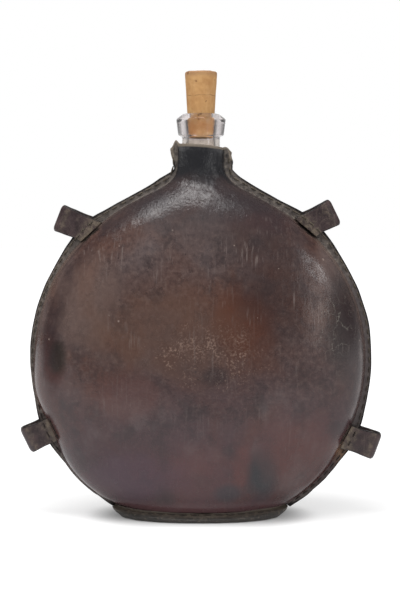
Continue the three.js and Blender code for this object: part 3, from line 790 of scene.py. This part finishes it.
def cover_move(point, normal, cut):
    """How the moulded leather departs from the plain form: flange, collar, wrinkles and dents."""
    side = -1 if point.x < 0 else 1
    beside = abs(point.x)
    flange = 1 - smooth_step(abs(point.y), 2.7 * MM, 4.5 * MM)
    face = 1 - flange
    move = flange_move(point, cut * flange) + wall_spread(point, cut * flange)

    collar = smooth_step(point.z, 208 * MM, COLLAR_TOP)
    share = max(-1, min(1, point.x / NECK_SLEEVE))
    move.z += collar * (1.5 - 1.1 * share + 0.5 * (1 - share * share)) * MM
    ear = (2.6 if side < 0 else 0.9) * hump(beside, NECK_SLEEVE + 0.7 * MM, 1.6 * MM)
    corner = 2.4 * smooth_step(beside, NECK_SLEEVE + 1.5 * MM, NECK_SEAM)
    move.z += collar * flange * (ear - corner) * MM

    ridge = flange * smooth_step(point.z, 200 * MM, 206 * MM)
    if side < 0:
        sway = 2.3 * hump(point.z, 209.5 * MM, 5.5 * MM)
    else:
        sway = 0.8 * hump(point.z, 212 * MM, 4 * MM)
    move.x += ridge * smooth_step(beside, NECK_SLEEVE + 0.4 * MM, NECK_SEAM - 0.7 * MM) * sway * MM
    move += normal * ridge * 0.8 * MM * ripple(point, 3.4 * MM, 7)
    move += normal * face * 0.45 * MM * hump(point.z, COLLAR_TOP - 1 * MM, 1.6 * MM)

    neckward = smooth_step(point.z, 174 * MM, 198 * MM)
    neckward *= 1 - 0.7 * smooth_step(point.z, 207 * MM, 213 * MM)
    upright = Vector((point.x, point.y, 0.3 * point.z))
    folds = ripple(upright, 3.6 * MM, 11) + 0.5 * ripple(point, 2.6 * MM, 12)
    fold_height = (0.1 + 0.34 * hump(point.x, 7 * MM, 18 * MM)) * MM
    dents = 0.4 * MM * ripple(point, 42 * MM, 13) + 0.14 * MM * ripple(point, 16 * MM, 17)
    move += normal * face * (neckward * fold_height * folds + dents)
    if point.y < 0:
        nick = bump_at(Vector((point.x, 0, point.z)), Vector((66 * MM, 0, 149 * MM)), 4 * MM)
        move -= normal * face * 0.7 * MM * nick
    return move


def add_cover(node):
    bm = merged_copy(node)
    sleeve = [
        edge for edge in bm.edges
        if min(v.co.z for v in edge.verts) > COLLAR_FOOT - 3 * MM
        and abs(edge.verts[0].co.z - edge.verts[1].co.z) > 4 * MM
    ]
    bmesh.ops.subdivide_edges(bm, edges=sleeve, cuts=4, use_grid_fill=True)
    mark_cut_edges(bm, angle=math.radians(50), hold=0.55)
    bm = subdivided(bm, levels=2)
    shape(bm, cover_move)
    add_piece(bm, node + "_leather", COVER_LEATHER, "canteen", [node], levels=1)


def base_outward(point):
    """Direction away from the middle of the base, as its oval outline faces."""
    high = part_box("base_cap")[1]
    return Vector((point.x / high.x ** 2, point.y / high.y ** 2, 0)).normalized()


def base_move(point, normal, cut):
    """A base rim that dips in the middle and clings to the cover, with its foot trodden out."""
    out = base_outward(point)
    rim = smooth_step(point.z, 3 * MM, 8 * MM)
    trodden = 3 * abs(out.y) * (1 - smooth_step(point.z, 2 * MM, 7 * MM))
    trodden += (2.3 if out.x < 0 else 1.2) * abs(out.x)
    dip = 0.34 * point.z * (1 - (point.x / BASE_HALF) ** 2)
    level = 0.35 * MM * rim * ripple(point, 17 * MM, 23) - dip
    wave = 0.25 * MM * rim * ripple(point, 8 * MM, 19)
    cling = rim * (0.5 + 1.7 * abs(out.y))
    skived = 1.7 * smooth_step(normal.dot(out), -0.2, 0.6) * smooth_step(point.z, 3 * MM, 7 * MM)
    return out * (trodden - cling - skived) * MM + normal * wave + Vector((0, 0, level))


def add_base():
    bm = merged_copy("base_cap")
    mark_cut_edges(bm, angle=math.radians(40), hold=0.5)
    bm = subdivided(bm, levels=2)
    worn = bm.verts.layers.float.new("worn")
    for vert in bm.verts:
        vert[worn] = 1.5 * smooth_step(vert.co.z, 5 * MM, 7.5 * MM)
    shape(bm, base_move)
    add_piece(bm, "base_cap_leather", BASE_LEATHER, "canteen", ["base_cap"], levels=1)


def add_loop(node):
    """A strip of leather folded round the edge of the flange, with its legs sewn flat to both faces."""
    loop = LOOP_FRAMES[node]
    bm = bmesh.new()
    bmesh.ops.create_grid(bm, x_segments=40, y_segments=14, size=1)
    cut = bm.verts.layers.float.new("cut")
    worn = bm.verts.layers.float.new("worn")
    quarter = math.pi / 2 * LOOP_MIDDLE
    fold = loop["reach"] - LOOP_LEATHER / 2 - LOOP_MIDDLE
    leg = quarter + fold + LOOP_TUCK / math.cos(loop["lean"])
    upward = 1 if loop["across"].z > 0 else -1
    for vert in bm.verts:
        across, run = vert.co.y, abs(vert.co.x) * leg
        face = -1 if vert.co.x < 0 else 1
        turn = min(run, quarter) / LOOP_MIDDLE
        straight = max(0, run - quarter)
        along = fold + LOOP_MIDDLE * math.cos(turn) - straight
        rounding = min(1, max(0, abs(across) - 0.7) / 0.3)
        corner = LOOP_CORNER * (1 - math.sqrt(1 - rounding ** 2)) * (1 - smooth_step(straight, 0, 6 * MM))
        tucked = smooth_step(straight, fold * 0.5, leg - quarter)
        slant = tucked * across * LOOP_WIDTH / 2 * math.tan(loop["lean"])
        waist = 1 - 0.07 * hump(along, 3 * MM, 5 * MM)
        unfolded = Vector((vert.co.x * 20, across * 9, loop["reach"] / MM)) * MM
        lift = 0.3 * MM * ripple(unfolded, 6 * MM, 29)
        vert[cut] = smooth_step(abs(across), 0.78, 0.98)
        bend = 0.55 * hump(run, quarter, 1.3 * MM)
        vert[worn] = max(bend, smooth_step(straight, fold * 0.6, leg - quarter))
        sideways = loop["across"] * (across * waist * LOOP_WIDTH / 2 + upward * LOOP_SKEW * vert.co.x)
        vert.co = loop["seat"] + loop["along"] * (along - corner + slant) + sideways
        vert.co.y = face * (LOOP_MIDDLE * math.sin(turn) + lift)
    bm.normal_update()
    outermost = max(bm.faces, key=lambda f: f.calc_center_median().dot(loop["along"]))
    if outermost.normal.dot(loop["along"]) < 0:
        bmesh.ops.reverse_faces(bm, faces=bm.faces)
    piece = add_piece(bm, node + "_strap", STRAP_LEATHER, "canteen", [node])
    wall = piece.modifiers.new("leather", "SOLIDIFY")
    wall.thickness = LOOP_LEATHER
    wall.offset = 0
    edge = piece.modifiers.new("edge", "BEVEL")
    edge.width = LOOP_EDGE
    edge.segments = 2
    smooth = piece.modifiers.new("smooth", "SUBSURF")
    smooth.levels = 1
    smooth.render_levels = 1


def thread_path(node, axis):
    """Points along a CAD strand, hole and hump by turns, from the rings of its mesh along an axis."""
    bm = merged_copy(node)
    corners = sorted((v.co.copy() for v in bm.verts), key=lambda p: p[axis])
    bm.free()
    side_count = 4
    end_count = side_count + 1
    inner = range(end_count, len(corners) - end_count, side_count)
    rings = [corners[:end_count], *(corners[k:k + side_count] for k in inner), corners[-end_count:]]
    return [sum(wall_shade, Vector()) / len(wall_shade) for wall_shade in rings]


def add_stitches(node, axis, outward, follow, keep=None):
    """A row of stitches as far as keep from the middle, each arched over the leather between two holes."""
    bm = bmesh.new()
    bm.loops.layers.uv.new("lay")
    path = [point + follow(point) for point in thread_path(node, axis)]
    for start, crown, end in zip(path[0::2], path[1::2], path[2::2]):
        if keep and abs(crown.x) > keep:
            continue
        out = outward(crown)
        run = end - start
        half = run.length / 2 * STITCH_LENGTH
        sideways = out.cross(run).normalized()
        out = run.cross(sideways).normalized()
        ball = bmesh.ops.create_uvsphere(bm, u_segments=8, v_segments=8, radius=1, calc_uvs=True)
        stitch = ball["verts"]
        for vert in stitch:
            share = vert.co.z
            vert.co.x *= THREAD_RADIUS
            vert.co.y *= THREAD_RADIUS
            vert.co.z *= half
            vert.co.x -= STITCH_SINK * share * share
        turn = Matrix((out, run.cross(out).normalized(), run.normalized())).transposed().to_4x4()
        middle = (start + end) / 2
        bmesh.ops.transform(bm, matrix=Matrix.Translation(middle) @ turn, verts=stitch)
    add_piece(bm, node + "_stitches", THREAD, "canteen", [node], levels=1)


def seam_follow(point):
    """Stitches of the side seams lie on the flange as it is shaped."""
    face = -1 if point.y < 0 else 1
    return flange_move(point, SEAM_ROW_SHARE) - Vector((0, face * SEAM_ROW_SINK, 0))


def base_follow(point):
    """Stitches of the base lie on its wall as it is shaped."""
    out = base_outward(point)
    rise = Vector((0, 0, BASE_ROW_RISE))
    return base_move(point + rise, out, 0) - out * 0.1 * MM + rise


def face_outward(point):
    """Direction that the flange's face looks at a point."""
    return Vector((0, -1 if point.y < 0 else 1, 0))


def add_glass():
    """The blown flask, with the edges of its lip fire-polished."""
    bm = merged_copy("glass_flask")
    lip_edges = [
        edge for edge in bm.edges
        if min(v.co.z for v in edge.verts) > COLLAR_TOP and edge.calc_face_angle(0) > math.radians(22)
    ]
    bmesh.ops.bevel(
        bm, geom=lip_edges, offset=LIP_ROUNDING, offset_type="OFFSET", affect="EDGES",
        segments=3, profile=0.5, material=-1,
    )
    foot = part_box("glass_flask")[1].z - LIP_HEIGHT
    for vert in bm.verts:
        vert.co.z += LIP_LIFT * smooth_step(vert.co.z, foot - 3 * MM, foot)
    add_piece(bm, "glass_flask_blown", GLASS, "canteen", ["glass_flask"], levels=2)


def cork_move(point, normal, cut):
    """Small hollows and worn edges of a cut cork."""
    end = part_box("cork_stopper")[1].z
    top = smooth_step(point.z, end - 3 * MM, end)
    pits = min(0, ripple(point, 2.2 * MM, 31) + 0.35)
    crumbled = ripple(point, 3 * MM, 37) * top
    return normal * (0.3 * MM * pits + 0.14 * MM * crumbled + 0.12 * MM * ripple(point, 9 * MM, 41))


def add_cork():
    bm = merged_copy("cork_stopper")
    tall = [edge for edge in bm.edges if abs(edge.verts[0].co.z - edge.verts[1].co.z) > 20 * MM]
    bmesh.ops.subdivide_edges(bm, edges=tall, cuts=14, use_grid_fill=True)
    mark_cut_edges(bm, angle=math.radians(30), hold=0.3)
    bm = subdivided(bm, levels=2)
    shape(bm, cork_move)
    add_piece(bm, "cork_stopper_cut", CORK, "cork", ["cork_stopper"], levels=1)


add_glass()
add_cork()
add_cover("front_cover")
add_cover("back_cover")
add_base()
for loop_name in LOOPS:
    add_loop(loop_name)
for seam in ("left_seam_thread", "right_seam_thread"):
    add_stitches(seam + "_front", Z, face_outward, seam_follow)
    add_stitches(seam + "_back", Z, face_outward, seam_follow)
for row in ("base_thread_front", "base_thread_back"):
    add_stitches(row, X, base_outward, base_follow, keep=BASE_HALF)


# Floor and room


def background_seen(nodes):
    """1 where the camera sees the surroundings itself, in a reflection or through glass."""
    path = nodes.add("ShaderNodeLightPath").outputs
    seen = nodes.math("MAXIMUM", path["Is Camera Ray"], path["Is Transmission Ray"])
    return nodes.math("MAXIMUM", seen, path["Is Glossy Ray"])


def add_floor():
    """White paper that shows the object's shadow, with a painted contact shadow where it glows less round
    the foot, and pure white to the camera away from it.
    """
    bm = bmesh.new()
    bmesh.ops.create_grid(bm, x_segments=1, y_segments=1, size=6)
    mesh = bpy.data.meshes.new("floor")
    bm.to_mesh(mesh)
    bm.free()
    floor = bpy.data.objects.new("floor", mesh)
    scene.collection.objects.link(floor)
    material, nodes, shader = new_material("floor paper")
    shader["Roughness"].default_value = 0.9
    shader["Specular IOR Level"].default_value = 0.0
    shader["Emission Color"].default_value = (1, 1, 1, 1)
    place = nodes.object_place()
    axes = nodes.split(place)
    mirrored = nodes.add("ShaderNodeLightPath").outputs["Is Glossy Ray"]
    front = nodes.span(axes["Y"], -0.6, -0.12, 1.0, 0.0)
    right = nodes.span(axes["X"], 0.0, 0.3, 0.0, 0.3)
    dimmed = nodes.product(mirrored, nodes.math("MAXIMUM", front, right))
    tones = [paint(tone, tone, tone) for tone in (PAPER, DIM_PAPER)]
    nodes.put(nodes.mix(dimmed, *tones), shader["Base Color"])
    beside = nodes.math("SUBTRACT", nodes.math("ABSOLUTE", axes["X"]), CONTACT_STRAIGHT)
    beside = nodes.math("MAXIMUM", beside, 0.0)
    offset = nodes.add("ShaderNodeCombineXYZ", X=beside, Y=axes["Y"]).outputs[0]
    from_foot = nodes.vector("LENGTH", offset, out="Value")
    from_middle = nodes.vector("LENGTH", place, out="Value")
    # Painted contact shadow: the floor glows less round the foot
    near = nodes.span(from_foot, CONTACT_INNER, CONTACT_OUTER, CONTACT_GLOW, NEAR_GLOW)
    far = nodes.span(from_middle, 0.15, 0.9, 0.0, FAR_GLOW - NEAR_GLOW)
    glow = nodes.product(nodes.math("ADD", near, far), nodes.math("SUBTRACT", 1.0, dimmed))
    nodes.put(nodes.product(background_seen(nodes), glow), shader["Emission Strength"])
    mesh.materials.append(material)


def light_room():
    """Soft light from a room that is bright in front. Reflections and glass show the backdrop behind."""
    world = bpy.data.worlds.new("studio")
    scene.world = world
    world.use_nodes = True
    nodes = Nodes(world.node_tree)
    towards = nodes.add("ShaderNodeTexCoord").outputs["Generated"]
    back = nodes.split(towards)["Y"]
    path = nodes.add("ShaderNodeLightPath").outputs
    from_window = nodes.vector("DOT_PRODUCT", towards, WINDOW, out="Value")
    soft = nodes.span(from_window, -0.4, 0.7, BACK_LEVEL, FRONT_LEVEL)
    mirrored = nodes.span(back, 0.78, 0.96, DARK_ROOM, BACKDROP)
    lit = nodes.math("MINIMUM", path["Diffuse Depth"], 1.0)
    through = nodes.blend(lit, nodes.span(back, 0.3, 0.97, GLASS_DARK, GLASS_BRIGHT), FRONT_LEVEL)
    shown = nodes.blend(path["Is Transmission Ray"], mirrored, through)
    seen = nodes.blend(path["Is Camera Ray"], shown, 1.0)
    background = nodes.tree.nodes["Background"]
    background.inputs["Color"].default_value = (1, 1, 1, 1)
    nodes.put(nodes.blend(background_seen(nodes), soft, seen), background.inputs["Strength"])


add_floor()
light_room()
add_softbox("top softbox", (-0.16, -0.25, 0.95), distance=1.0, width=0.84, height=0.34, power=6.6, roll=13)
add_softbox("front softbox", (-0.15, -0.77, 0.62), distance=1.5, width=1.2, height=0.8, power=1.2)
add_softbox("right softbox", (0.73, -0.63, 0.2), distance=0.95, width=0.12, height=0.5, power=0.6, roll=-40)
add_softbox("right lamp", (0.82, -0.27, 0.5), distance=0.95, width=0.06, height=0.17, power=0.4, roll=-40)
